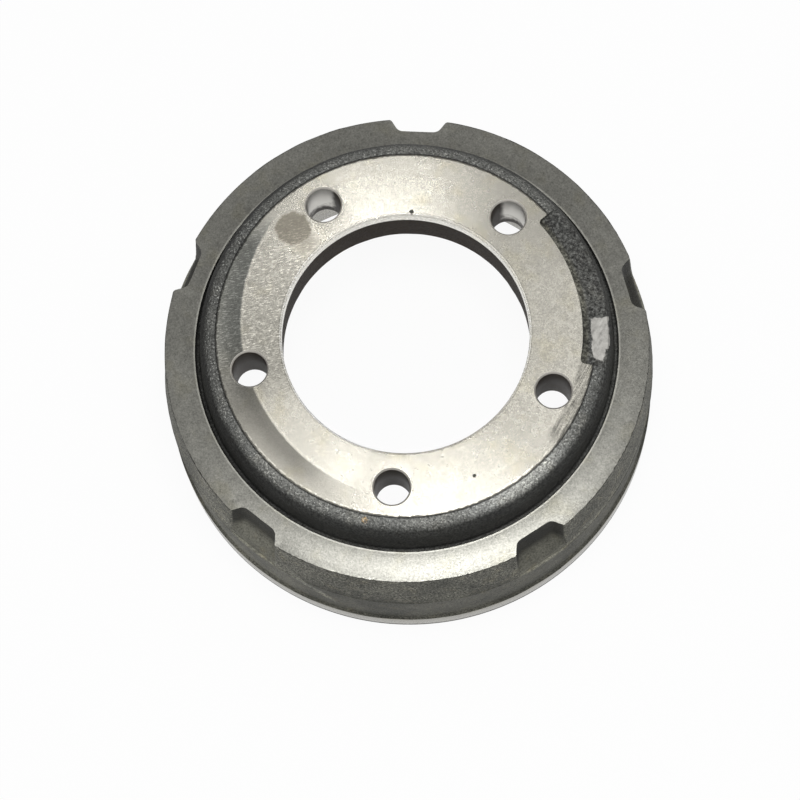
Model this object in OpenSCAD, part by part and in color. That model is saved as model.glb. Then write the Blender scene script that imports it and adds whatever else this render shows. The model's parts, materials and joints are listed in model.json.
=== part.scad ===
// Brake drum, one iron casting, turned and drilled where it fits the hub and the wheel.
// It rests on its open rim: the axis is +Z and the origin is the centre of the rim's face.

/* [Height] */
// Overall height, from the open rim to the mounting face
drum_h = 136; // [110:1:200]
// Drop from the mounting face to the ring face
step_h = 27.5; // [18:0.5:34]
// Depth of the cast groove below the ring face
groove_drop = 4.8; // [2:0.1:7]
// Thickness of the web between the groove and the inside
web_t = 12.5; // [9:0.5:18]
// Depth of the hub seat, turned into the inside of the web
seat_rise = 4.8; // [1:0.2:8]

/* [Mounting flange] */
// Diameter of the turned pilot bore
pilot_d = 162; // [120:1:178]
// Length of the turned pilot bore, down from the mounting face
pilot_len = 9; // [4:0.5:16]
// Radial clearance of the cored bore below the pilot
core_clear = 1.2; // [0.4:0.1:4]
// Diameter of the circle through the bolt holes
bolt_pcd = 208; // [202:1:260]
// Number of bolt holes, and of notches between them
bolt_count = 5; // [3:1:10]
// Diameter of a bolt hole
bolt_hole_d = 23; // [12:0.5:28]
// Width of the turned land outside the bolt holes
land_w = 8; // [4:0.5:16]
// Width of the hub seat outside the bolt holes
seat_w = 7; // [3:0.5:12]

/* [Shoulder, groove and ring] */
// Iron turned off the cast top of the flange and of the ring
stock = 0.1; // [0.1:0.1:2]
// Width from the edge of the mounting face to the ring face, over the cast shoulder and groove
groove_w = 16.5; // [12:0.5:30]
// Width of the groove's bottom; the round shoulder takes up the rest
groove_floor = 2.5; // [1:0.5:6]
// Largest radius in the bottom of the groove
groove_r = 3; // [1:0.5:6]
// Width of the turned ring face, which is also the wall at its top
ring_w = 20.2; // [16:0.2:30]
// Draft of the cast groove walls
groove_draft = 5; // [1:0.5:7]

/* [Wall and rim] */
// Draft of the cast wall above the parting line
wall_draft = 6.2; // [1:0.2:8]
// Draft of the cast wall below the parting line
lower_draft = 0.6; // [0:0.1:2]
// Height of the flash left along the parting line
flash = 0.4; // [0.2:0.1:0.8]
// Height of the turned band at the open rim
band_h = 18; // [8:1:28]
// How far the turned band stands out from the cast wall
band_proud = 2; // [0.5:0.1:4]
// Rise of the slope from the band to the wall, in degrees
band_slope = 45; // [30:1:60]
// Largest radius between the slope and the wall
cove_r = 4; // [1:0.5:8]

/* [Inside] */
// Depth of the relief at the mouth, below the rubbed surface
mouth_h = 9; // [4:0.5:16]
// Radial clearance of the mouth and of the runout, past the rubbed surface
relief = 1.5; // [0.5:0.1:3]
// Straight height of the runout between the rubbed surface and the corner
runout_h = 3; // [1:0.5:10]
// Radius between the runout and the web
corner_r = 5; // [2:0.5:8]

/* [Notches] */
// Width of a notch at the edge of the ring face
notch_w = 37.6; // [24:0.2:50]
// Depth of a notch in from the ring's outer edge
notch_depth = 9; // [5:0.5:12]
// Height of a notch, from the ring face down to the parting line
notch_h = 44; // [30:0.5:60]
// Angle of a notch's sides from the radius
notch_flare = 35; // [20:1:55]
// Radius of the corners at the back of a notch
notch_r = 6; // [2:0.5:7]
// Radius of the nose where a notch's side meets the wall
nose_r = 3; // [2:0.5:6]
// Fall of a notch's ledge towards the wall, in degrees
ledge_fall = 49; // [20:1:55]
// Largest radius at the foot and at the edge of the ledge
ledge_r = 10; // [2:0.5:14]
// Height from the parting line up to the edge of the ledge
sill_h = 6.5; // [2:0.5:8]
// Depth of the shallow recess below the ledge
sill_depth = 1.6; // [0.5:0.1:3]

/* [Cast pocket] */
// Share of the angle between two bolt holes that the pocket spans
pocket_share = 0.714; // [0.4:0.002:0.8]
// Width of the pocket, in from the edge of the mounting face
pocket_w = 8; // [4:0.5:16]
// Drop from the mounting face to the pocket's floor
pocket_drop = 4.5; // [2:0.5:8]
// Radius of the pocket's inner corners
pocket_r = 3; // [1:0.5:3.5]

/* [Edges] */
// Chamfer of the bolt holes and the pilot bore
hole_chamfer = 1.2; // [0.4:0.1:2]
// Chamfer of the open rim
rim_chamfer = 1; // [0.4:0.1:3]
// How far the casting is turned against the drilled holes, in degrees
cast_turn = 1.7; // [-4:0.1:4]

/* [Hidden] */
$fn = 96;

over = 1;                  // how far a cut runs past the surface that it opens
bite = 0.005;              // how far a fillet's circle runs into the walls that it joins
groove_flat = 0.1;         // least flat between the two fillets of the groove
round_share = 0.9;         // most of a wall that a fillet at its end takes up
nose_bite = 15;            // angle at which a notch's nose meets the wall
first_hole = -90;          // azimuth of the first bolt hole
pitch = 360 / bolt_count;
first_notch = first_hole + pitch / 2 + cast_turn;
pocket_notch = 1;          // the notch that the pocket lies beside, counted from the first

// Heights of the turned and cast levels
face_z = drum_h;
cast_z = face_z + stock;
ring_z = face_z - step_h;
ring_cast_z = ring_z + stock;
groove_z = ring_z - groove_drop;
ceiling_z = groove_z - web_t;
pilot_z = face_z - pilot_len;
parting_z = ring_z - notch_h;
pocket_z = face_z - pocket_drop;
runout_z = ceiling_z - corner_r - runout_h - relief;
cove_z = band_h + band_proud * tan(band_slope);

// Radii, from the bore outwards
pilot_r = pilot_d / 2;
core_r = pilot_r + core_clear;
bolt_r = bolt_pcd / 2;
hole_r = bolt_hole_d / 2;
seat_r = bolt_r + hole_r + seat_w;
flange_r = bolt_r + hole_r + land_w;
ring_in_r = flange_r + groove_w;
ring_out_r = ring_in_r + ring_w;
friction_r = ring_in_r;
relief_r = friction_r + relief;
parting_r = ring_out_r + notch_h * tan(wall_draft);
waist_r = parting_r - (parting_z - cove_z) * tan(lower_draft);
band_r = waist_r + band_proud;

// The shoulder touches the cast top and the drafted wall, and the turned face cuts it off at the
// flange's edge: its radius r solves grip * r - sqrt(2 * r * stock - stock^2) = shoulder_room
boss_h = cast_z - groove_z;
ring_foot_r = ring_in_r - groove_drop * tan(groove_draft);
shoulder_room = ring_foot_r - groove_floor - boss_h * tan(groove_draft) - flange_r;
grip = tan(45 - groove_draft / 2);
half_sum = grip * shoulder_room + stock;
root = sqrt(pow(half_sum, 2) - pow(grip, 2) * (pow(shoulder_room, 2) + pow(stock, 2)));
shoulder_r = min((half_sum + root) / pow(grip, 2), round_share * boss_h / grip);
shoulder_cut = sqrt(pow(shoulder_r, 2) - pow(shoulder_r - stock, 2));
boss_r = flange_r - shoulder_cut + grip * shoulder_r;
boss_foot_r = boss_r + boss_h * tan(groove_draft);
groove_fillet = min(groove_r, (ring_foot_r - boss_foot_r - groove_flat) / 2 / grip);
cove_fillet = min(cove_r, band_proud / cos(band_slope) * tan(45 + (band_slope - lower_draft) / 2));

// The pocket, beside its notch
pocket_span = pitch * pocket_share;

// A notch in plan: its nose lies where the side meets the ring's outer edge
nose_x = notch_w / 2;
nose_y = sqrt(pow(ring_out_r, 2) - pow(nose_x, 2));
notch_floor_y = ring_out_r - notch_depth;
notch_floor_x = nose_x - (nose_y - notch_floor_y) * tan(notch_flare);

function unit(v) = v / norm(v);
function heading(a) = [sin(a), cos(a)];
function mirror_x(p) = [-p.x, p.y];

// What lies between a circle and its two walls, in the unit directions p and q from its centre
module spandrel(centre, r, p, q) {
    translate(centre) difference() {
        polygon((r + over) * [[0, 0], q, (p + q) / (1 + p * q), p]);
        circle(r);
    }
}

// The fillet in the corner b of the walls a-b and b-c, which follow the section's own order
module fillet(a, b, c, r) {
    u = unit(a - b);
    v = unit(c - b);
    half = acos(u * v) / 2;
    reach = (r - bite) / tan(half);
    centre = b + unit(u + v) * (r - bite) / sin(half);
    spandrel(centre, r, unit(b + u * reach - centre), unit(b + v * reach - centre));
}

// Half section of the casting, with the stock still on the two faces that are turned
module casting_section() {
    boss_foot = [boss_foot_r, groove_z];
    ring_foot = [ring_foot_r, groove_z];
    ring_edge = [ring_in_r + stock * tan(groove_draft), ring_cast_z];
    waist = [waist_r, cove_z];
    band_top = [band_r, band_h];
    parting = [parting_r, parting_z];
    runout = [relief_r, ceiling_z];
    difference() {
        union() {
            polygon([
                [core_r, ceiling_z], [core_r, pilot_z - core_clear],
                [pilot_r - stock, pilot_z + stock], [pilot_r - stock, cast_z],
                [boss_r, cast_z], boss_foot, ring_foot, ring_edge,
                [ring_out_r - stock * tan(wall_draft), ring_cast_z],
                parting + flash * [-tan(wall_draft), 1],
                parting + flash * [1, 0],
                parting - flash * [tan(lower_draft), 1],
                waist, band_top, [band_r, 0], [friction_r, 0],
                [friction_r, runout_z], [relief_r, runout_z + relief], runout
            ]);
            fillet([boss_r, cast_z], boss_foot, ring_foot, groove_fillet);
            fillet(boss_foot, ring_foot, ring_edge, groove_fillet);
            fillet(parting, waist, band_top, cove_fillet);
            fillet([relief_r, runout_z], runout, [core_r, ceiling_z], corner_r);
        }
        fillet([pilot_r, cast_z], [boss_r, cast_z], boss_foot, shoulder_r);
    }
}

// Half section of all that is turned off around the axis
module turning_section() {
    // Above the mounting face and the ring face
    translate([0, face_z]) square([flange_r + over, stock + over]);
    translate([ring_in_r - over, ring_z]) square([ring_w + 2 * over, stock + over]);
    // Pilot bore with its chamfer
    polygon([
        [0, pilot_z - over], [pilot_r, pilot_z - over], [pilot_r, face_z - hole_chamfer],
        [pilot_r + hole_chamfer + over, face_z + over], [0, face_z + over]
    ]);
    // Hub seat in the inside of the web
    translate([0, ceiling_z - over]) square([seat_r, seat_rise + over]);
    // Mouth below the rubbed surface, with the inner chamfer of the rim
    polygon([
        [0, -over], [relief_r + rim_chamfer + over, -over], [relief_r, rim_chamfer],
        [relief_r, mouth_h], [friction_r, mouth_h + relief], [0, mouth_h + relief]
    ]);
    // Outer chamfer of the rim
    polygon([
        [band_r - rim_chamfer - over, -over], [band_r + over, -over], [band_r + over, rim_chamfer + over]
    ]);
}

// Plan of one notch, which opens towards +Y
module notch_plan() {
    reach = (notch_depth + flash + over) / cos(notch_flare);
    floor_end = [notch_floor_x, notch_floor_y];
    side = heading(notch_flare);
    side_end = floor_end + side * reach;
    side_normal = [side.y, -side.x];
    wall_normal = unit([nose_x, nose_y]);
    wall_along = [wall_normal.y, -wall_normal.x];
    // The nose's circle touches the side and meets the wall at a small angle
    depth = nose_r * cos(nose_bite);
    slide = (nose_r - bite + depth * (wall_normal * side_normal)) / (wall_along * side_normal);
    nose = [nose_x, nose_y] - wall_normal * depth + wall_along * slide;
    difference() {
        polygon([floor_end, side_end, mirror_x(side_end), mirror_x(floor_end)]);
        fillet(mirror_x(floor_end), floor_end, side_end, notch_r);
        fillet(floor_end, mirror_x(floor_end), mirror_x(side_end), notch_r);
    }
    for (turn = [0, 1]) mirror([turn, 0]) spandrel(nose, nose_r, -side_normal, wall_normal);
}

// Section of the iron under a notch: its back, a falling ledge, and a shallow sill to the parting line
module notch_bed() {
    lean = tan(wall_draft);
    slope = tan(ledge_fall);
    fall = [cos(ledge_fall), -sin(ledge_fall)];
    sweep = notch_h + notch_depth;
    sill = sill_h - 2 * flash;
    edge = [parting_r - sill_h * lean - sill_depth, parting_z + sill_h];
    foot = edge + sill * [lean, -1];
    // The ledge meets the notch's back here
    back_y = (notch_floor_y + (ring_z - edge.y - edge.x * slope) * lean) / (1 - slope * lean);
    back = [back_y, edge.y + (edge.x - back_y) * slope];
    turn = 90 - ledge_fall - wall_draft;
    room = round_share * min(norm(edge - back) / 2, sill, ring_z - back.y);
    ledge_fillet = min(ledge_r, room / tan(turn / 2));
    difference() {
        polygon([
            back - sweep * fall, edge, foot, foot + [sweep, 0],
            foot + [sweep, -sweep], back - sweep * (fall + [0, 2])
        ]);
        fillet(back, edge, foot, ledge_fillet);
    }
    fillet(back + [-lean, 1], back, edge, ledge_fillet);
}

// One notch at the front of +Y: the plan leans out with the wall
module notch() {
    sweep = notch_h + notch_depth;
    difference() {
        translate([0, notch_floor_y, ring_z]) rotate([wall_draft, 0, 0])
            translate([0, -notch_floor_y, -sweep]) linear_extrude(sweep + over) notch_plan();
        rotate([90, 0, 90]) linear_extrude(2 * notch_w, center = true) notch_bed();
    }
}

// The cast pocket in the flange's edge, centred on +X, with rounded inner corners
module pocket() {
    in_r = flange_r - pocket_w;
    height = pocket_drop + over;
    half = pocket_span / 2;
    centre_r = in_r + pocket_r - bite;
    out = heading(90 - half + asin((pocket_r - bite) / centre_r));
    end = [-sin(half), cos(half)];
    translate([0, 0, pocket_z]) difference() {
        rotate(-half) rotate_extrude(angle = pocket_span)
            translate([in_r, 0]) square([ring_in_r - in_r, height]);
        for (turn = [0, 1]) mirror([0, turn]) translate([0, 0, -over])
            linear_extrude(height + 2 * over) spandrel(centre_r * out, pocket_r, -out, end);
    }
}

// One bolt hole at the front of +X, chamfered at the mounting face
module bolt_hole() {
    translate([bolt_r, 0, 0]) {
        translate([0, 0, ceiling_z - over]) cylinder(d = bolt_hole_d, h = face_z - ceiling_z + 2 * over);
        translate([0, 0, face_z - hole_chamfer])
            cylinder(r1 = hole_r, r2 = hole_r + hole_chamfer + over, h = hole_chamfer + over);
    }
}

module brake_drum() {
    color("gray") difference() {
        rotate_extrude() difference() {
            casting_section();
            turning_section();
        }
        for (i = [0 : bolt_count - 1]) {
            rotate(first_hole + i * pitch) bolt_hole();
            rotate(first_notch + i * pitch - 90) notch();
        }
        rotate(first_notch + pocket_notch * pitch) pocket();
    }
}

brake_drum();
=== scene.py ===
# Looks of a cast-iron brake drum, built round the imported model
import json
import math

import bmesh
import bpy
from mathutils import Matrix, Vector, noise


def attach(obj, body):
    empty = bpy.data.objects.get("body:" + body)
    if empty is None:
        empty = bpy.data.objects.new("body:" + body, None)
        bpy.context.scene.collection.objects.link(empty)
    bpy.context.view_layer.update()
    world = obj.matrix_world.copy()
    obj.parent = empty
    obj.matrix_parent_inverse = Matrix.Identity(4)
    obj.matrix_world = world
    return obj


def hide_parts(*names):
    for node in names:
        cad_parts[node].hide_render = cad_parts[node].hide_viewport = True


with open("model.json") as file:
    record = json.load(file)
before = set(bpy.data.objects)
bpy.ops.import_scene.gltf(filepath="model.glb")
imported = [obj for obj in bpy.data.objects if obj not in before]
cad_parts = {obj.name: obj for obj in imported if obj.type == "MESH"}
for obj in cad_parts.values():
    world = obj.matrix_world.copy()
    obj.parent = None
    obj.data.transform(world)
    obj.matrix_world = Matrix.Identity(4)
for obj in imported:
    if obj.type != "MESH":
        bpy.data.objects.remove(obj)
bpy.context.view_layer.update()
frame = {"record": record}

mm = 0.001
mounts = {mount["name"]: mount for mount in frame["record"]["mounts"]}


def deselectAll():
    if bpy.context.object and bpy.context.object.mode != "OBJECT":
        bpy.ops.object.mode_set(mode="OBJECT")
    bpy.ops.object.select_all(action="DESELECT")


def selectOnly(piece):
    deselectAll()
    piece.select_set(True)
    bpy.context.view_layer.objects.active = piece


# Shader maths: a wire is a socket, and an expression on wires adds its Math nodes
class Wire:
    def __init__(self, graph, socket):
        self.graph = graph
        self.socket = socket

    def maths(self, operation, *values):
        return self.graph.node("ShaderNodeMath", {"operation": operation}, dict(enumerate(values)))

    def __add__(self, other):
        return self.maths("ADD", self, other)

    def __radd__(self, other):
        return self.maths("ADD", other, self)

    def __sub__(self, other):
        return self.maths("SUBTRACT", self, other)

    def __rsub__(self, other):
        return self.maths("SUBTRACT", other, self)

    def __mul__(self, other):
        return self.maths("MULTIPLY", self, other)

    def __rmul__(self, other):
        return self.maths("MULTIPLY", other, self)

    def __truediv__(self, other):
        return self.maths("DIVIDE", self, other)

    def __pow__(self, other):
        return self.maths("POWER", self, other)

    def __abs__(self):
        return self.maths("ABSOLUTE", self)

    def smallest(self, other):
        return self.maths("MINIMUM", self, other)

    def largest(self, other):
        return self.maths("MAXIMUM", self, other)

    def rise(self, low, high):               # 0 below low, 1 above high, smooth between
        inputs = {"Value": self, "From Min": low, "From Max": high}
        return self.graph.node("ShaderNodeMapRange", {"interpolation_type": "SMOOTHSTEP"}, inputs)

    def window(self, low, high, soft):       # 1 between low and high
        return self.rise(low - soft, low + soft) * (1 - self.rise(high - soft, high + soft))


# A node tree that grows by wires
class Graph:
    def __init__(self, tree):
        self.tree = tree

    def node(self, kind, settings=None, inputs=None, out=0):
        made = self.tree.nodes.new(kind)
        for name, value in (settings or {}).items():
            setattr(made, name, value)
        for name, value in (inputs or {}).items():
            self.feed(made.inputs[name], value)
        return Wire(self, made.outputs[out])

    def feed(self, socket, value):
        if isinstance(value, Wire):
            self.tree.links.new(value.socket, socket)
        else:
            socket.default_value = value

    def seenBy(self, *rays):                 # 1 where the camera or a reflection looks, 0 for light itself
        seen = None
        for ray in rays:
            wire = self.node("ShaderNodeLightPath", out=f"Is {ray} Ray")
            seen = seen.largest(wire) if seen else wire
        return seen


# One finish is one material with its coordinates, in millimetres
class Finish(Graph):
    def __init__(self, name, settings):
        self.material = bpy.data.materials.new(name)
        self.material.use_nodes = True
        super().__init__(self.material.node_tree)
        self.shader = self.tree.nodes["Principled BSDF"]
        for socket, value in settings.items():
            self.shader.inputs[socket].default_value = value
        place = self.node("ShaderNodeTexCoord", out="Object")
        self.millimetres = self.vector("SCALE", place, Scale=1 / mm)
        self.x, self.y, self.z = (self.split(axis) for axis in "XYZ")
        self.radius = (self.x ** 2 + self.y ** 2) ** 0.5

    def split(self, axis):
        return self.node("ShaderNodeSeparateXYZ", inputs={"Vector": self.millimetres}, out=axis)

    def vector(self, operation, *vectors, **inputs):
        inputs.update(enumerate(vectors))
        return self.node("ShaderNodeVectorMath", {"operation": operation}, inputs)

    def mix(self, share, first, second, blend="MIX"):
        inputs = {0: share, 6: first, 7: second}
        return self.node("ShaderNodeMix", {"data_type": "RGBA", "blend_type": blend}, inputs, 2)

    def grain(self, size, detail=2, rough=0.5, where=None):      # noise with features of this size in mm
        inputs = {"Vector": where or self.millimetres, "Scale": 1 / size}
        inputs.update({"Detail": detail, "Roughness": rough})
        return self.node("ShaderNodeTexNoise", inputs=inputs)

    def rings(self, along, pitch, detail):                       # noise that changes along one value only
        inputs = {"W": along, "Scale": 1 / pitch, "Detail": detail}
        return self.node("ShaderNodeTexNoise", {"noise_dimensions": "1D"}, inputs)

    def streaks(self, angle, long, thin):                        # noise drawn out along one direction
        turn = math.radians(angle)
        along = (self.x * math.cos(turn) + self.y * math.sin(turn)) / long
        across = (self.y * math.cos(turn) - self.x * math.sin(turn)) / thin
        place = self.node("ShaderNodeCombineXYZ", inputs={"X": along, "Y": across, "Z": self.z / thin})
        return self.grain(1, 3, 0.55, place)

    def cells(self, size):                                       # distance to the nearest of many points
        return self.node("ShaderNodeTexVoronoi", inputs={"Vector": self.millimetres, "Scale": 1 / size})

    def reach(self, x, y):                                       # distance in plan from one point
        return ((self.x - x) ** 2 + (self.y - y) ** 2) ** 0.5

    def bump(self, height, depth, normal=None):
        inputs = {"Height": height, "Distance": depth * mm}
        if normal:
            inputs["Normal"] = normal
        return self.node("ShaderNodeBump", inputs=inputs)

    def set(self, **wires):
        for name, value in wires.items():
            self.feed(self.shader.inputs[name.replace("_", " ")], value)


def atPolar(radius, azimuth):
    return radius * math.cos(math.radians(azimuth)), radius * math.sin(math.radians(azimuth))


# The drum's sizes in mm; what the record states is read from it
drum = {
    "height": mounts["mounting_face"]["pos_m"][2] / mm,
    "pilotRadius": mounts["pilot_bore"]["dims"]["r_mm"],
    "pilotDepth": 9,
    "coreClearance": 1.2,
    "boltCircle": mounts["bolt_holes"]["dims"]["pcd_mm"] / 2,
    "holeRadius": mounts["bolt_holes"]["dims"]["hole_r_mm"],
    "holeCount": mounts["bolt_holes"]["dims"]["count"],
    "holeChamfer": 1.2,
    "firstHole": -90,           # azimuth, degrees
    "flangeRadius": 123.5,
    "seatHeight": mounts["hub_seat"]["pos_m"][2] / mm,
    "seatRadius": 122.5,
    "ceiling": 91.2,            # of the drum's inside, below the seat
    "shoulderTop": 134.24,      # radius at which the boss's wall would meet the flange's level
    "shoulderRadius": 13.5,
    "bossFoot": 137.08,
    "grooveLevel": 103.7,
    "ringLevel": 108.5,
    "ringInner": 140,
    "ringOuter": 160.2,
    "wallDraft": 6.2,           # degrees
    "partingLevel": 64.5,
    "partingRadius": 164.98,
    "flash": 0.14,
    "waistRadius": 164.5,
    "bandRadius": 166.5,
    "bandHeight": 18,
    "frictionRadius": mounts["friction_bore"]["dims"]["r_mm"],
    "relief": 1.5,              # how far the mouth and the runout lie outside the rubbed surface
    "mouthDepth": 9,
    "runout": 8,
    "webRounding": 5,
    "rimChamfer": 1,
    "steps": 288,               # steps round the axis
    "castRow": 3.4,             # height of a row of faces on a cast wall
    "edgeRadius": 0.35,         # broken edge of a turned face
    "holeSteps": 72,
    "weld": 0.02,               # vertices nearer than this become one
    "smoothAngle": 32,          # degrees; sharper edges stay sharp
}


# Corners of the half section: radius, height, rounding
def sectionCorners():
    d = drum
    edge = d["edgeRadius"]
    top = d["height"]
    core = d["pilotRadius"] + d["coreClearance"]
    friction = d["frictionRadius"]
    mouth = friction + d["relief"]
    flashOut = d["partingRadius"] + d["flash"]
    chamfer = d["holeChamfer"]
    rimChamfer = d["rimChamfer"]
    runout = d["ceiling"] - d["runout"]
    return [
        (core, d["seatHeight"], edge),
        (core, top - d["pilotDepth"] - d["coreClearance"], 0.8),
        (d["pilotRadius"], top - d["pilotDepth"], edge),
        (d["pilotRadius"], top - chamfer, edge),
        (d["pilotRadius"] + chamfer, top, edge),
        (d["shoulderTop"], top + 0.1, d["shoulderRadius"]),
        (d["bossFoot"], d["grooveLevel"], 1.3),
        (d["ringInner"] - 0.42, d["grooveLevel"], 1.1),
        (d["ringInner"], d["ringLevel"], edge),
        (d["ringOuter"], d["ringLevel"], edge),
        (d["partingRadius"] - 0.09, d["partingLevel"] + 0.8, 0.6),
        (flashOut, d["partingLevel"] + 0.3, 0.2),
        (flashOut, d["partingLevel"] - 0.3, 0.2),
        (d["partingRadius"], d["partingLevel"] - 0.8, 0.6),
        (d["waistRadius"], d["bandHeight"] + 2, 4),
        (d["bandRadius"], d["bandHeight"], edge),
        (d["bandRadius"], rimChamfer, edge),
        (d["bandRadius"] - rimChamfer, 0, edge),
        (mouth + rimChamfer, 0, edge),
        (mouth, rimChamfer, edge),
        (mouth, d["mouthDepth"], edge),
        (friction, d["mouthDepth"] + d["relief"], edge),
        (friction, runout - d["relief"], edge),
        (mouth, runout, edge),
        (mouth, d["ceiling"], d["webRounding"]),
        (d["seatRadius"], d["ceiling"], edge),
        (d["seatRadius"], d["seatHeight"], 0.5),
    ]


# A closed or open line through corners, with each corner rounded
def roundedLine(corners, closed=True, fineness=9):
    points = []
    count = len(corners)
    for place, (radius, height, rounding) in enumerate(corners):
        here = Vector((radius, height))
        if not closed and place in (0, count - 1):
            points.append(here)
            continue
        back = Vector(corners[place - 1][:2]) - here
        ahead = Vector(corners[(place + 1) % count][:2]) - here
        back.normalize()
        ahead.normalize()
        half = back.angle(ahead) / 2
        if rounding <= 0 or half > math.radians(88):           # sharp, or nearly straight
            points.append(here)
            continue
        reach = rounding / math.tan(half)
        centre = here + (back + ahead).normalized() * (rounding / math.sin(half))
        start = here + back * reach - centre
        end = here + ahead * reach - centre
        turn = start.angle_signed(end)
        pieces = max(2, round(abs(turn) * rounding ** 0.5 * fineness / 2.2))
        for step in range(pieces + 1):
            angle = turn * step / pieces
            across = Vector((start.x * math.cos(angle) + start.y * math.sin(angle),
                             -start.x * math.sin(angle) + start.y * math.cos(angle)))
            points.append(centre + across)
    return points


def splitRun(start, end):                    # points along a run of cast wall, without its end
    pieces = max(1, round((end - start).length / drum["castRow"]))
    return [start.lerp(end, step / pieces) for step in range(pieces)]


# Adds a loop of vertices, each at its place, and leaves it open for editing
def addLoop(name, places):
    deselectAll()
    bpy.ops.mesh.primitive_circle_add(vertices=len(places), radius=0.1, fill_type="NOTHING")
    piece = bpy.context.object
    piece.name = name
    piece.data.name = name
    for vertex, place in zip(piece.data.vertices, places):
        vertex.co = Vector(place) * mm
    bpy.ops.object.mode_set(mode="EDIT")
    bpy.ops.mesh.select_all(action="SELECT")
    return piece


# Builds a closed block through loops of as many vertices each
def addRows(name, rows):
    piece = addLoop(name, rows[0])
    bpy.ops.mesh.edge_face_add()
    for row in rows[1:]:
        bpy.ops.mesh.extrude_region_move(TRANSFORM_OT_translate={"value": (0, 0, -mm)})
        mesh = bmesh.from_edit_mesh(piece.data)
        mesh.verts.ensure_lookup_table()
        for vertex, place in zip(mesh.verts[-len(row):], row):
            vertex.co = Vector(place) * mm
        bmesh.update_edit_mesh(piece.data)
    bpy.ops.mesh.select_all(action="SELECT")
    bpy.ops.mesh.normals_make_consistent(inside=False)
    if bmesh.from_edit_mesh(piece.data).calc_volume(signed=True) < 0:
        bpy.ops.mesh.flip_normals()          # a curved block can come out inside out
    bpy.ops.object.mode_set(mode="OBJECT")
    return piece


def isTurned(radius, height):                # whether this part of the section was machined
    d = drum
    onFlange = height > d["height"] - 0.45 and radius < d["flangeRadius"] + 0.1
    onRing = height > d["ringLevel"] - 0.4 and d["ringInner"] - 0.2 < radius < d["ringOuter"] + 0.2
    onBand = height < d["bandHeight"] + 0.1
    onBore = radius < d["pilotRadius"] + 1.3 and height > d["height"] - d["pilotDepth"] - 0.6
    onSeat = d["ceiling"] - 0.1 < height < d["seatHeight"] + 0.4 and radius < d["seatRadius"] + 0.1
    onFriction = d["seatRadius"] + 5 < radius < d["frictionRadius"] + 0.4 and height < d["ceiling"] - 9
    return onFlange or onRing or onBand or onBore or onSeat or onFriction


def spinDrum():
    points = roundedLine(sectionCorners())
    section = []
    for point, following in zip(points, points[1:] + points[:1]):          # turned runs stay whole
        middle = (point + following) / 2
        section += [point] if isTurned(middle.x, middle.y) else splitRun(point, following)
    piece = addLoop("brakeDrum", [(p.x, 0, min(p.y, drum["height"])) for p in section])
    bpy.ops.mesh.spin(steps=drum["steps"], angle=2 * math.pi, center=(0, 0, 0), axis=(0, 0, 1),
                      use_auto_merge=True)
    bpy.ops.mesh.select_all(action="SELECT")
    bpy.ops.mesh.remove_doubles(threshold=drum["weld"] * mm)
    bpy.ops.mesh.normals_make_consistent(inside=False)
    bpy.ops.object.mode_set(mode="OBJECT")
    print("section of", len(section), "points spun to", len(piece.data.polygons), "faces")
    return piece


# The cast notches in the ring's edge, in mm
notch = {
    "first": 19.7,              # azimuth of the notch beside the pocket
    "mouthHalf": 18.8,
    "floorRadius": 151.2,
    "flare": 35,                # degrees from the radius
    "cornerRadius": 6,
    "noseRadius": 3,
    "sillHeight": 6.5,
    "sillDepth": 1.6,
    "ledgeFall": 49,            # degrees
    "ledgeRadius": 10,
    "noseBite": 15,             # degrees
    "arcSteps": 8,
    "overshoot": 6,             # how far the cutter stands out of the wall
}


def notchBed():                              # section of the iron under a notch, from the top down
    lean = math.tan(math.radians(drum["wallDraft"]))
    slope = math.tan(math.radians(notch["ledgeFall"]))
    ring = drum["ringLevel"]
    foot = drum["partingLevel"] + 0.8
    edgeZ = drum["partingLevel"] + notch["sillHeight"]
    edgeY = drum["partingRadius"] - notch["sillHeight"] * lean - notch["sillDepth"]
    backY = (notch["floorRadius"] + (ring - edgeZ - edgeY * slope) * lean) / (1 - slope * lean)
    backZ = edgeZ + (edgeY - backY) * slope
    footY = edgeY + (edgeZ - foot) * lean
    return [
        (notch["floorRadius"] - 4 * lean, ring + 4, 0),
        (backY, backZ, notch["ledgeRadius"]),
        (edgeY, edgeZ, notch["ledgeRadius"] * 0.9),
        (footY, foot, 0),
    ]


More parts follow.
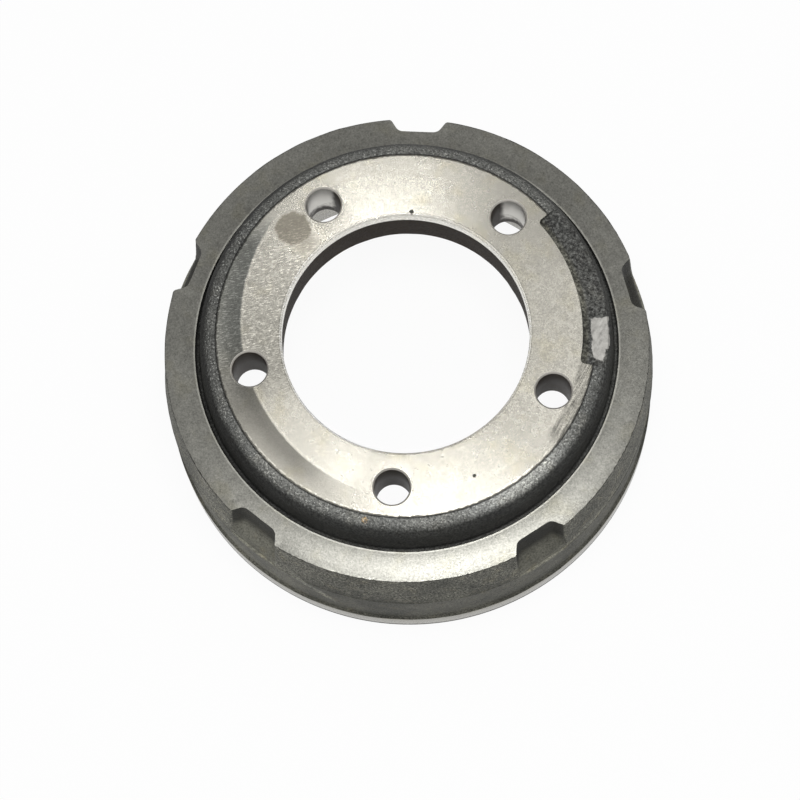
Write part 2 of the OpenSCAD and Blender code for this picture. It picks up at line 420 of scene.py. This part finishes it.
def notchHalfPlan(floorY, height):           # half outline of a notch at one level
    lean = math.tan(math.radians(drum["wallDraft"])) * (drum["ringLevel"] - height)
    flare = math.radians(notch["flare"])
    side = Vector((math.sin(flare), math.cos(flare)))
    outward = Vector((side.y, -side.x))
    half = notch["mouthHalf"]
    mouth = Vector((half, math.sqrt(drum["ringOuter"] ** 2 - half ** 2) + lean))
    normal = Vector((half, mouth.y - lean)).normalized()
    along = Vector((normal.y, -normal.x))
    # Corner between the floor and the side; both roundings shrink with the notch's depth
    deep = mouth.y - floorY
    corner = Vector((mouth.x - deep * math.tan(flare), floorY))
    rounding = min(notch["cornerRadius"], 1.2 * deep)
    reach = rounding * math.tan((math.pi / 2 - flare) / 2)
    centre = Vector((corner.x - reach, floorY + rounding))
    plan = [Vector((corner.x - reach, floorY)) * Vector((share, 1)) for share in (0.25, 0.5, 0.75)]
    arcSteps = notch["arcSteps"]
    for step in range(arcSteps + 1):
        angle = -math.pi / 2 + (math.pi / 2 - flare) * step / arcSteps
        plan.append(centre + rounding * Vector((math.cos(angle), math.sin(angle))))
    # Nose that rounds the side into the wall
    bite = math.radians(notch["noseBite"])
    nose = min(notch["noseRadius"], 0.9 * deep)
    depth = nose * math.cos(bite)
    slide = (nose + depth * normal.dot(outward)) / along.dot(outward)
    middle = mouth - normal * depth + along * slide
    turn = (-outward).angle(normal)
    for step in range(arcSteps + 1):
        angle = turn * step / arcSteps
        spoke = (-outward) * math.sin(turn - angle) + normal * math.sin(angle)
        plan.append(middle + nose * spoke / math.sin(turn))
    plan.append(plan[-1] + normal * notch["overshoot"])
    return plan


def addNotch():
    bed = roundedLine(notchBed(), closed=False, fineness=8)
    levels = [level for start, end in zip(bed, bed[1:]) for level in splitRun(start, end)] + bed[-1:]
    loops = []
    for floorY, height in levels:
        half = notchHalfPlan(floorY, height)
        plan = [(-p.x, p.y) for p in reversed(half)] + [(0, floorY)] + [(p.x, p.y) for p in half]
        loops.append([(y, -x, height) for x, y in plan])       # the notch opens towards +X
    return addRows("notchCutter", loops)


# The cast pocket in the flange's edge, in mm
pocket = {
    "middle": 19.7,             # azimuth
    "span": 51.4,               # degrees
    "innerRadius": 115.5,
    "outerRadius": 147,
    "floor": 131.5,
    "cornerRadius": 3,
    "footRadius": 1.2,
    "draft": 0.15,              # how much wider it is at the flange's level
    "overshoot": 2,             # how far the cutter stands above the flange
    "meanRadius": 120,          # at which the end walls' draft is measured
    "cornerSteps": 6,
    "innerRun": (0.86, 40),     # share of the inner wall that is divided, and its parts
    "outerRun": (0.9, 18),
    "endPoint": 137,            # radius of one more point in each end wall
}


def evenly(share, parts):                    # numbers from -share to share
    return [share * (2 * n / parts - 1) for n in range(parts + 1)]


def addPocket():
    rows = []
    rounding = pocket["cornerRadius"]
    cornerSteps = pocket["cornerSteps"]
    foot = pocket["footRadius"]
    quarter = [math.pi / 8 * n for n in range(4)]
    levels = [(foot * (1 - math.sin(a)), foot * (1 - math.cos(a))) for a in quarter]       # inset and rise
    draft = pocket["draft"]
    depth = drum["height"] - pocket["floor"]
    levels += [(0, foot), (-draft, depth), (-draft - 0.05, depth + pocket["overshoot"])]
    for inset, rise in levels:
        inner = pocket["innerRadius"] + inset
        outer = pocket["outerRadius"]
        half = math.radians(pocket["span"] / 2) - inset / pocket["meanRadius"]
        turn = rounding / inner
        loop = []
        for side in (-1, 1):
            arc = []
            for step in range(cornerSteps + 1):                # from the end wall to the inner wall
                angle = math.pi / 2 * step / cornerSteps
                radius = inner + rounding * (1 - math.sin(angle))
                arc.append((radius, side * (half - turn * (1 - math.cos(angle)))))
            arc = [(outer, side * half), (pocket["endPoint"], side * half)] + arc
            if side > 0:
                loop += [(inner, half * share) for share in evenly(*pocket["innerRun"])]
                arc.reverse()
            loop += arc
        far = [(outer, -half * share) for share in evenly(*pocket["outerRun"])]
        height = pocket["floor"] + rise
        rows.append([(r * math.cos(a), r * math.sin(a), height) for r, a in loop + far])
    return addRows("pocketCutter", rows)


def addHole():
    chamfer = drum["holeChamfer"]
    top = drum["height"]
    seat = drum["seatHeight"]
    levels = (                               # how much wider than the hole, and how high
        (chamfer + 1, top + 1),
        (chamfer, top),
        (0.15, top - chamfer + 0.15),
        (0, top - chamfer - 0.2),
        (0, seat + 20),
        (0, seat - 4),
    )
    steps = drum["holeSteps"]
    angles = [2 * math.pi * n / steps for n in range(steps)]
    middle = drum["boltCircle"]
    rows = []
    for wider, height in levels:
        radius = drum["holeRadius"] + wider
        rows.append([(middle + radius * math.cos(a), radius * math.sin(a), height) for a in angles])
    return addRows("holeCutter", rows)


def turned(piece, azimuth):                  # a copy with its own mesh, turned round the axis
    selectOnly(piece)
    bpy.ops.object.duplicate(linked=False)
    copy = bpy.context.object
    copy.rotation_euler = (0, 0, math.radians(azimuth))
    bpy.ops.object.transform_apply(location=True, rotation=True, scale=True)
    return copy


def joined(name, pieces):
    deselectAll()
    for piece in pieces:
        piece.select_set(True)
    bpy.context.view_layer.objects.active = pieces[0]
    bpy.ops.object.join()
    pieces[0].name = name
    return pieces[0]


def giveFinish(piece, *materials):
    piece.data.materials.clear()
    for material in materials:
        piece.data.materials.append(material)


def cutDrum(drumPiece, turnedFinish, castFinish, drilledFinish):
    giveFinish(drumPiece, turnedFinish, castFinish, drilledFinish)
    for face in drumPiece.data.polygons:
        middle = face.center / mm
        face.material_index = 0 if isTurned(middle.xy.length, middle.z) else 1
    count = drum["holeCount"]
    cutters = []
    for model, finish, first, copies in ((addNotch(), castFinish, notch["first"], count),
                                         (addHole(), drilledFinish, drum["firstHole"], count),
                                         (addPocket(), castFinish, pocket["middle"], 1)):
        giveFinish(model, finish)
        cutters += [turned(model, first + 360 / count * number) for number in range(copies)]
        bpy.data.objects.remove(model)
    cutter = joined("cutters", cutters)
    selectOnly(drumPiece)
    cut = drumPiece.modifiers.new("cut", "BOOLEAN")
    cut.operation = "DIFFERENCE"
    cut.solver = "MANIFOLD"
    cut.material_mode = "TRANSFER"
    cut.object = cutter
    bpy.ops.object.modifier_apply(modifier=cut.name)
    bpy.data.objects.remove(cutter)
    print("cut:", len(drumPiece.data.polygons), "faces")


# The casting's slight unevenness; turned faces stay true
skin = {
    "waves": ((22, 0.30), (5, 0.13)),        # size and depth, mm
    "offset": (7.3, 1.9, 4.1),
    "edgeShare": 1.3,           # how much more a turned face's edge wanders within its face
}


def roughenCast(piece, castFinish):
    mesh = piece.data
    castSlots = {place for place, material in enumerate(mesh.materials) if material == castFinish}
    cast = set()
    exact = set()
    for face in mesh.polygons:
        (cast if face.material_index in castSlots else exact).update(face.vertices)
    offset = Vector(skin["offset"])
    normals = [vertex.normal.copy() for vertex in mesh.vertices]
    for index in cast:
        vertex = mesh.vertices[index]
        place = vertex.co / mm
        depth = sum(noise.noise(place / size + offset) * amount for size, amount in skin["waves"])
        shift = normals[index] * depth * mm
        if index in exact:                   # an edge shared with a turned face stays in that face
            shift.z = 0
            shift *= skin["edgeShare"]
        vertex.co += shift
        vertex.co.z = min(vertex.co.z, drum["height"] * mm)
    mesh.update()


# Turned iron: the cutter's marks spread its shine along the radius.
# In all finishes a mask runs from 0 to 1, and the numbers that bound it are mm on the drum
turnedLook = {
    "flangeColour": (0.262, 0.252, 0.222),
    "ringColour": (0.142, 0.140, 0.126),
    "boreColour": (0.74, 0.72, 0.66),
    "warmTint": (1.0, 0.985, 0.92),
    "spotTint": (1.0, 0.96, 0.90),
    "cutTint": (0.95, 1.0, 1.04),
    "flangeRoughness": 0.27,
    "ringRoughness": 0.34,
    "flangeSpread": 1.7,        # how far the marks tilt the shine
    "ringSpread": 0.64,
    "otherSpread": 0.5,
    "ringFall": 0.088,          # the ring's outward slope
    "markSize": 0.26,           # mm
    "crescent": (16.4, 11.5, 125),     # x, y and radius of the edge left by a second cut
    "dullSpot": (103.4, 140.2, 11.6),  # radius, azimuth and size of a dull round spot
    "speck": (106.3, 299.4, 1.3),
    "nick": (83.4, 91.8, 1.7),
    # How much each of these changes the tone
    "cloud": 0.3,
    "mottle": 0.4,
    "speckle": 1.1,
    "sparkle": 0.9,
    "ringWear": 0.20,
    "ringShade": 0.3,           # towards the groove
    "scratches": 0.95,
    "rubbing": 2.6,
    "burrs": 1.1,
    "ringInside": 0.6,
    "crescentShade": 0.68,
    "crescentLine": 0.25,
    "spotShade": 0.46,
    "fleckShade": 0.2,
    "markShade": 0.9,
    "chipShade": 0.7,
    "footShade": 0.85,
    "boreLine": 0.45,
}


def secondCut(f, mottle):                    # painted shade where a second cut tilts the face on the left, and a painted highlight along its edge
    x, y, size = turnedLook["crescent"]
    fromCut = f.reach(x, y) + (mottle - 0.5) * 1.6
    side = (0 - f.x).rise(12, 66) * (1 - f.y.rise(48, 84))
    shade = fromCut.rise(size - 0.8, size + 0.6) * (1 - fromCut.rise(size + 3, size + 24) * 0.6)
    return shade * side, fromCut.window(size - 1.9, size - 0.7, 0.4) * side


def dullSpot(f, mottle, sparkle):            # a round spot with a fainter one beside it, nearer the bore
    radius, azimuth, size = turnedLook["dullSpot"]
    fromSpot = f.reach(*atPolar(radius, azimuth)) + (mottle - 0.5) * 6 + (sparkle - 0.5) * 3
    fromFaint = f.reach(*atPolar(radius - 12, azimuth + 1)) + (mottle - 0.5) * 8
    return (1 - fromSpot.rise(size - 1.2, size + 1.4)).largest((1 - fromFaint.rise(3, 11)) * 0.55)


def smallMarks(f, speckle):
    marks = None
    for name, ragged in (("speck", 1.4), ("nick", 1.8)):
        radius, azimuth, size = turnedLook[name]
        fromMark = f.reach(*atPolar(radius, azimuth)) + (speckle - 0.5) * ragged
        mark = 1 - fromMark.rise(size * 0.6, size * 1.2)
        marks = marks.largest(mark) if marks else mark
    return marks


def edgeRimsAndBurrHighlights(f, onFlange, onRing):           # dark ragged rims, and painted highlights on burrs on the near side, along the outer edges
    flange = drum["flangeRadius"]
    ring = drum["ringOuter"]
    flangeDarkRim = (f.radius + (f.grain(3, 3, 0.6) - 0.5) * 2.6).rise(flange - 0.9, flange - 0.3)
    ringDarkRim = (f.radius + (f.grain(3.4, 3, 0.6) - 0.5) * 2.2).rise(ring - 0.6, ring)
    flangeBurrHighlight = f.radius.window(flange - 1.8, flange - 1, 0.3) * f.grain(2.6, 2).rise(0.45, 0.6)
    ringBurrHighlight = f.radius.window(ring - 1.2, ring - 0.4, 0.3) * f.grain(2.2, 3).rise(0.45, 0.6)
    ringBurrHighlight = ringBurrHighlight * f.x.window(-40, -6, 6)
    near = (0 - f.y).rise(62, 84)
    darkRims = (flangeDarkRim * onFlange).largest(ringDarkRim * onRing)
    return darkRims, (flangeBurrHighlight * onFlange + ringBurrHighlight * onRing) * near


def rubbedStrip(f):                          # a strip rubbed by handling, right of the pocket's end
    inward = (f.radius + f.y.rise(-72, -56) * 4.5 - f.y.rise(-16, -8) * 3).rise(117.4, 120.6)
    strip = inward * f.y.window(-66, -8, 5) * f.x.rise(70, 90)
    return (f.streaks(66, 16, 0.8) - 0.68) * strip


def makeTurned():
    look = turnedLook
    f = Finish("turnedIron", {"Metallic": 1.0})
    top = drum["height"]
    ring = drum["ringLevel"]
    pilot = drum["pilotRadius"]
    onFlange = f.z.rise(top - 2.5, top - 1)
    onRing = f.z.rise(ring - 8.5, ring - 1.5) * (1 - f.z.rise(ring + 3.5, ring + 11.5))
    inBore = (1 - f.radius.rise(pilot + 0.8, pilot + 1.6)) * f.z.rise(top - 11, top - 9.5)
    foot = (1 - f.z.rise(2.6, 4.8)) * f.radius.rise(165.7, 166.2)          # painted contact shadow: a dark line just above the floor
    boreLine = f.radius.window(pilot + 1.25, pilot + 1.7, 0.12) * onFlange
    # painted highlight along the ring's inner edge
    ringInside = (1 - f.radius.rise(140.8, 141.6)) * onRing
    cloud = f.grain(34, 3, 0.5)
    mottle = f.grain(5, 4, 0.65)
    speckle = f.grain(1.0, 2, 0.7)
    sparkle = f.grain(1.5, 3, 0.75)
    flecks = f.grain(2.2, 3, 0.7).rise(0.62, 0.74)
    crescent, crescentLine = (mask * onFlange for mask in secondCut(f, mottle))
    spot = dullSpot(f, mottle, sparkle) * onFlange
    marks = smallMarks(f, speckle) * onFlange
    darkRims, burrs = edgeRimsAndBurrHighlights(f, onFlange, onRing)
    # painted sheen: the ring paler towards the near side and the right
    ringNearSheen = (f.x * 0.42 - f.y * 0.9 + (cloud - 0.5) * 70).rise(-20, 165) * onRing
    scratched = (0 - f.x).rise(44, 80) * (1 - abs(f.y - 12).rise(30, 74)) * onFlange
    scratches = f.streaks(14, 4, 0.8).rise(0.55, 0.63) + f.streaks(30, 3.5, 0.8).rise(0.57, 0.66) * 0.8
    # The flange is evener at its far and near sides, with painted light on the right and low on the left
    calm = 1 - abs(f.y).rise(36, 84) * onFlange * 0.7
    pale = f.x.rise(20, 96) * (1 - abs(f.y).rise(30, 96)) * 0.42
    pale = pale + (1 - f.reach(-58, -80).rise(22, 56)) * 0.75
    fine = (mottle - 0.5) * look["mottle"] + (speckle - 0.5) * look["speckle"]
    fine = fine + (sparkle - 0.5) * look["sparkle"]
    tone = 1 + (cloud - 0.5) * look["cloud"] + fine * calm
    tone = tone * (1 + pale * onFlange) * (1 - onRing * (1 - f.radius.rise(140, 156)) * look["ringShade"])
    tone = tone * (1 + ringNearSheen * look["ringWear"]) + rubbedStrip(f) * onFlange * look["rubbing"]
    tone = tone + scratches * scratched * look["scratches"]
    tone = tone + burrs * look["burrs"] + ringInside * look["ringInside"]
    shades = {"crescentShade": crescent, "spotShade": spot, "fleckShade": flecks * calm, "markShade": marks,
              "chipShade": darkRims, "footShade": foot, "boreLine": boreLine}
    for amount, mask in shades.items():
        tone = tone * (1 - mask * look[amount])
    tone = tone + crescentLine * look["crescentLine"]
    white = (1, 1, 1, 1)
    tint = f.mix(f.grain(16, 3).rise(0.5, 0.75), white, (*look["warmTint"], 1))
    tint = f.mix(spot, tint, (*look["spotTint"], 1))
    tint = f.mix(crescent * f.y.rise(-70, 0), tint, (*look["cutTint"], 1))
    colour = f.mix(onRing, (*look["flangeColour"], 1), (*look["ringColour"], 1))
    # the pilot bore is painted far paler than the flange, a painted reflection of the light above
    colour = f.mix(inBore, colour, (*look["boreColour"], 1))
    colour = f.vector("SCALE", f.mix(1.0, colour, tint, "MULTIPLY"), Scale=tone)
    rough = look["flangeRoughness"] + onRing * (look["ringRoughness"] - look["flangeRoughness"])
    rough = rough + (mottle - 0.5) * 0.10 * calm + spot * 0.2 + darkRims * 0.2 + crescent * 0.05 + foot * 0.3
    f.set(Base_Color=colour, Roughness=rough)
    # The cutter's marks tilt the surface along the radius
    normal = f.node("ShaderNodeNewGeometry", out="Normal")
    around = f.vector("NORMALIZE", f.node("ShaderNodeCombineXYZ", inputs={"X": 0 - f.y, "Y": f.x}))
    across = f.vector("CROSS_PRODUCT", around, normal)         # outwards on a face that looks up
    other = look["otherSpread"]
    spread = other + onFlange * (look["flangeSpread"] - other) + onRing * (look["ringSpread"] - other)
    rings = f.rings(f.radius + f.z, 0.4, 2) - 0.5
    tilt = (f.grain(look["markSize"], 1) - 0.5 + rings * 0.10) * spread + onRing * look["ringFall"]
    tilted = f.vector("NORMALIZE", f.vector("ADD", normal, f.vector("SCALE", across, Scale=tilt)))
    f.set(Normal=f.bump(mottle * 0.4 + sparkle * 0.3, 0.02, tilted))
    return f.material


# Cast iron: sand grain with a dull sheen, with painted shade where light doesn't reach and painted light
# and glints where it falls
castLook = {
    "dark": (0.053, 0.053, 0.045),
    "pale": (0.106, 0.104, 0.087),
    "olive": (0.100, 0.093, 0.069),
    "shoulder": (0.044, 0.045, 0.045),
    "core": (0.028, 0.019, 0.012),
    "gilded": (0.16, 0.10, 0.035),
    "ground": (0.42, 0.41, 0.385),
    "grain": 1.35,              # mm
    "grainDepth": 0.5,
    "roughness": 0.64,
    "patch": ((121.2, 9.4), (133.4, 9.6), (133.6, 2.0), (129.8, -3.8), (122.6, -3.2)),  # radius, azimuth
    "gilt": (127.8, 263.0, 2.6),       # radius, azimuth and size of a warm stain
    # How much each of these changes the tone
    "pits": 0.3,
    "low": 0.12,                # below the parting line
    "valley": 0.8,
    "notchWall": 0.72,
    "shoulderTop": 1.7,
    "shoulderLow": 0.2,
    "shoulderGlint": 1.1,
    "shoulderEdge": 0.8,
    "dust": 0.55,
    "outside": 0.25,
    "sill": 0.8,
    "arc": 2.2,
    "seam": 1.2,
}


def notchMasks(f):                           # the notches' backs and their sills
    back = None
    sill = None
    pitch = 360 / drum["holeCount"]
    parting = drum["partingLevel"]
    lean = math.tan(math.radians(drum["wallDraft"]))
    wallRadius = f.radius + (f.z - parting) * lean             # as it would be at the parting line
    for number in range(drum["holeCount"]):
        angle = math.radians(notch["first"] + pitch * number)
        outward = f.x * math.cos(angle) + f.y * math.sin(angle)            # along the notch's own middle
        sideways = abs(f.y * math.cos(angle) - f.x * math.sin(angle))
        near = (1 - sideways.rise(17.5, 20.5)) * outward.rise(146, 149)
        near = near * f.z.rise(parting - 4, parting - 1.5)
        inside = near * (1 - wallRadius.rise(163.4, 164.4))
        lip = near * (1 - f.z.rise(parting + 1.5, parting + 6.5)) * f.z.rise(parting - 2, parting + 0.5)
        back = back + inside if back else inside
        sill = sill + lip if sill else lip
    return back, sill


def groundPatch(f):                          # the flat that was ground in the pocket
    corners = [atPolar(*corner) for corner in castLook["patch"]]
    patch = None
    for (x, y), (nextX, nextY) in zip(corners, corners[1:] + corners[:1]):
        run = math.dist((x, y), (nextX, nextY))
        depth = (f.x - x) * ((nextY - y) / run) - (f.y - y) * ((nextX - x) / run)
        patch = patch.smallest(depth) if patch else depth
    floor = pocket["floor"]
    return (patch + (f.grain(5, 3, 0.6) - 0.5) * 5).rise(-0.3, 0.6) * f.z.rise(floor - 2.5, floor - 1)


def makeCast():
    look = castLook
    f = Finish("castIron", {"Metallic": 0.55, "Specular IOR Level": 0.12})
    top = drum["height"]
    left = 0 - f.x
    near = 0 - f.y
    cloud = f.grain(30, 3, 0.55)
    patches = f.grain(11, 3, 0.6)
    sand = f.grain(look["grain"], 2, 0.7)
    fine = f.grain(0.9, 2, 0.6)
    grit = sand.rise(0.36, 0.64)
    glintSpecks = (f.grain(1.4, 2, 0.8) + (patches - 0.5) * 0.15).rise(0.57, 0.66)
    pits = 1 - f.cells(look["grain"] * 1.6).rise(0.12, 0.36)
    # Where on the casting
    outside = f.radius.rise(146, 149)
    high = (f.z + (f.grain(24, 2) - 0.5) * 26).rise(62, 76) * outside      # above a wavy line
    shoulder = (1 - outside) * f.radius.rise(118, 121)
    shoulderTop = (f.z + (fine - 0.5) * 2).rise(top - 5.6, top - 1.4) * shoulder
    pocketFloor = f.z.window(pocket["floor"] - 0.9, pocket["floor"] + 1.1, 0.2) * f.x.rise(60, 90)
    pocketFloor = pocketFloor * (1 - f.radius.rise(130, 134))
    shoulderLow = (shoulder - shoulderTop) * (1 - pocketFloor)
    shoulderEdge = (1 - (f.radius + (fine - 0.5) * 1.2).rise(124.1, 125.0)) * f.z.rise(top - 2.5, top - 1)
    glint = 1 - f.reach(84, -96).rise(12, 56)                  # the shoulder's brightest stretch
    valley = f.radius.window(136.0, 141, 0.4) * (1 - f.z.rise(103, 122))
    core = 1 - f.radius.rise(82.5, 84)
    back, sill = notchMasks(f)
    # painted shade on the notches' upper back walls
    notchWall = back * f.z.rise(76, 90)
    ledgeLightAndShade = (back - notchWall) * (near.rise(0, 90) * 0.75 - 0.65)          # painted shade on the notches' lower backs, with slight painted light on the near side
    # the wall paler towards the lower left
    paleLowerLeft = f.x.window(-150, -62, 24) * near.rise(70, 120) * outside
    # A pale arc low on the left of the wall, and a pale line along the parting on the right
    fall = f.x * 0.76 + f.z * 0.65 + 4 + (patches - 0.5) * 10
    arc = (1 - abs(fall).rise(1.5, 5)) * f.x.window(-66, -38, 4) * near.rise(140, 150)
    seam = f.z.window(66, 71, 1.5) * f.x.rise(104, 120) * near.rise(10, 40) * outside
    gilt = (1 - f.reach(*atPolar(*look["gilt"][:2])).rise(look["gilt"][2] * 0.4, look["gilt"][2])) * grit
    patch = groundPatch(f)
    # Tone
    contrast = 0.85 - back * 0.4 + high * (1 - back) * 0.5
    tone = (1 + (grit - 0.5) * contrast) * (1 - pits * look["pits"]) * (1 - (outside - high) * look["low"])
    # painted light: the groove is painted paler than the rest of the casting
    tone = tone * (1 + valley * look["valley"]) * (1 - notchWall * look["notchWall"])
    # painted light on the shoulder's top, stronger on the near side and weaker on the left, with a painted
    # highlight on its brightest stretch
    lit = 0.7 + near.rise(20, 110) * 0.55 - left.rise(60, 120) * 0.25
    tone = tone * (1 + shoulderTop * look["shoulderTop"] * lit)
    tone = tone * (1 + shoulderTop * look["shoulderGlint"] * glint)
    # painted shade on the shoulder's lower part, deeper on the left
    tone = tone * (1 - shoulderLow * (look["shoulderLow"] + left.rise(30, 110) * 0.35))
    tone = tone * (1 + pocketFloor * (f.grain(2.4, 2, 0.7).rise(0.4, 0.62) - 0.35))
    tone = tone * (1 + ledgeLightAndShade) * (1 + paleLowerLeft * look["dust"]) * (1 + outside * look["outside"])
    # painted highlight on the notches' sills
    tone = tone + sill * look["sill"] + (arc * look["arc"] + seam * look["seam"]) * grit
    # painted glints: bright specks, strongest on the shoulder's top and brightest stretch and on the upper
    # wall
    glintStrength = 0.35 + shoulderTop * (4.4 + glint * 3) + high * 2.0
    tone = tone + glintSpecks * glintStrength * (1 - valley) * (1 - core) * (1 - back)
    tone = tone * (1 - shoulder * shoulderEdge * look["shoulderEdge"])
    colour = f.mix(cloud.rise(0.2, 0.8), (*look["dark"], 1), (*look["pale"], 1))
    colour = f.mix(patches.rise(0.52, 0.75) * 0.7, colour, (*look["olive"], 1))
    colour = f.mix(shoulder * 0.75, colour, (*look["shoulder"], 1))
    colour = f.mix(core, colour, (*look["core"], 1))
    colour = f.mix(gilt * 0.7, colour, (*look["gilded"], 1))
    colour = f.vector("SCALE", colour, Scale=tone)
    scuffs = 0.45 + f.streaks(70, 6, 1.8) * 0.6 + (f.grain(4, 3, 0.6) - 0.5) * 0.8
    colour = f.mix(patch, colour, f.vector("SCALE", look["ground"], Scale=scuffs))
    f.set(Base_Color=colour, Roughness=look["roughness"] + (sand - 0.5) * 0.2 - patch * 0.05)
    height = (sand + fine * 0.4 - pits * 0.5) * (1 - patch * 0.8)
    f.set(Normal=f.bump(height, look["grainDepth"]))
    return f.material


# Drilled iron: brown in the bores of the holes, with painted light on the outer sides of the two at the
# back
drilledLook = {
    "dark": (0.034, 0.026, 0.020),
    "pale": (0.066, 0.053, 0.041),
    "bright": (0.74, 0.725, 0.68),
    "chamfer": (0.52, 0.50, 0.46),
    "roughness": 0.36,
    "lineDepth": 0.12,          # of the drill's lines, mm
}


def makeDrilled():
    look = drilledLook
    f = Finish("drilledIron", {"Specular IOR Level": 0.1})
    lines = f.rings(f.z, 0.9, 4)
    smear = f.grain(6, 3, 0.6)
    chamferLevel = drum["height"] - drum["holeChamfer"]
    chamfer = f.z.rise(chamferLevel - 0.1, chamferLevel + 0.1)
    outer = (abs(f.x) + (smear - 0.5) * 3).rise(54.5, 58.5)
    # painted light on the outer walls of the two holes at the back
    litHoleWalls = f.y.rise(82, 88) * outer * (f.z + (smear - 0.5) * 24).rise(98, 110)
    colour = f.mix(lines.rise(0.35, 0.7) * smear.rise(0.3, 0.6), (*look["dark"], 1), (*look["pale"], 1))
    colour = f.mix(litHoleWalls, colour, (*look["bright"], 1))
    colour = f.mix(chamfer, colour, (*look["chamfer"], 1))
    litWallsOrChamfer = litHoleWalls.largest(chamfer)
    f.set(Base_Color=colour, Roughness=look["roughness"] + smear * 0.2, Metallic=0.3 + litWallsOrChamfer * 0.6)
    f.set(Normal=f.bump(lines * 0.7 + f.grain(1.2) * 0.3, look["lineDepth"]))
    return f.material


finishes = (makeTurned(), makeCast(), makeDrilled())
print("finishes made")
drumPiece = spinDrum()
cutDrum(drumPiece, *finishes)
roughenCast(drumPiece, finishes[1])
selectOnly(drumPiece)
bpy.ops.object.shade_smooth_by_angle(angle=math.radians(drum["smoothAngle"]))
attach(drumPiece, "root")
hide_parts("brake_drum")
print("drum finished:", len(drumPiece.data.polygons), "faces")


# Camera where the photograph was taken from
camera = {
    "position": (90.17 * mm, -515.79 * mm, 1784.89 * mm),
    "turn": (16.0849, 1.7568, 4.7454),   # degrees, about X, then Y, then Z
    "lens": 119.54,
    "sensor": 36.0,
    "clipEnd": 20,              # m
}


def placeCamera():
    deselectAll()
    turn = [math.radians(angle) for angle in camera["turn"]]
    bpy.ops.object.camera_add(location=camera["position"], rotation=turn)
    eye = bpy.context.object
    eye.name = "photoCamera"
    eye.data.lens = camera["lens"]
    eye.data.sensor_width = camera["sensor"]
    eye.data.clip_end = camera["clipEnd"]
    bpy.context.scene.camera = eye
    print("camera placed")


# Light
studio = {
    "skyLight": (0.30, 0.60),   # the world as it lights dull surfaces, at the horizon and overhead
    "floorSize": 8,             # m
    "floorDrop": 0.0004,        # below the drum, m
    "floorColour": 0.8,
    "floorRoughness": 0.9,
    "floorShade": 0.94,         # share of the floor's white that stays in the object's shadow
    "lamps": (                  # name, place, aim, size in m, watts
        ("overheadLamp", (0.06, -0.10, 1.5), (0, 0, 0.1), 0.45, 12),
    ),
}


def setWorld():
    world = bpy.data.worlds.new("whiteStudio")
    bpy.context.scene.world = world
    world.use_nodes = True
    graph = Graph(world.node_tree)
    direction = graph.node("ShaderNodeTexCoord", out="Generated")
    height = graph.node("ShaderNodeSeparateXYZ", inputs={0: direction}, out="Z")
    horizon, overhead = studio["skyLight"]
    inputs = {"Value": height, "To Min": horizon, "To Max": overhead}
    light = graph.node("ShaderNodeMapRange", inputs=inputs)
    inputs = {"Value": graph.seenBy("Camera", "Glossy", "Transmission"), "To Min": light, "To Max": 1}
    strength = graph.node("ShaderNodeMapRange", inputs=inputs)
    background = world.node_tree.nodes["Background"]
    graph.feed(background.inputs["Color"], (1, 1, 1, 1))
    graph.feed(background.inputs["Strength"], strength)
    bpy.context.scene.view_settings.view_transform = "Standard"
    print("world set")


def placeLamps():
    for name, place, aim, size, power in studio["lamps"]:
        bpy.ops.object.light_add(type="AREA", location=place)
        lamp = bpy.context.object
        lamp.name = name
        lamp.data.size = size
        lamp.data.energy = power
        lamp.visible_camera = False          # it hangs close to the camera
        lamp.rotation_euler = (Vector(aim) - Vector(place)).to_track_quat("-Z", "Y").to_euler()
    print("lamps placed")


def placeFloor():
    deselectAll()
    bpy.ops.mesh.primitive_plane_add(size=studio["floorSize"], location=(0, 0, -studio["floorDrop"]))
    floor = bpy.context.object
    floor.name = "floor"
    bpy.ops.object.transform_apply(location=True, rotation=True, scale=True)
    material = bpy.data.materials.new("paleFloor")
    material.use_nodes = True
    nodes = material.node_tree.nodes
    graph = Graph(material.node_tree)
    paper = nodes["Principled BSDF"]
    grey = studio["floorColour"]
    graph.feed(paper.inputs["Base Color"], (grey, grey, grey, 1))
    graph.feed(paper.inputs["Roughness"], studio["floorRoughness"])
    glow = graph.node("ShaderNodeEmission", inputs={"Color": (1, 1, 1, 1)})
    share = graph.seenBy("Camera", "Glossy") * studio["floorShade"]
    mixed = graph.node("ShaderNodeMixShader", inputs={0: share, 1: Wire(graph, paper.outputs[0]), 2: glow})
    graph.feed(nodes["Material Output"].inputs["Surface"], mixed)
    floor.data.materials.append(material)
    print("floor placed")


placeCamera()
setWorld()
placeLamps()
placeFloor()
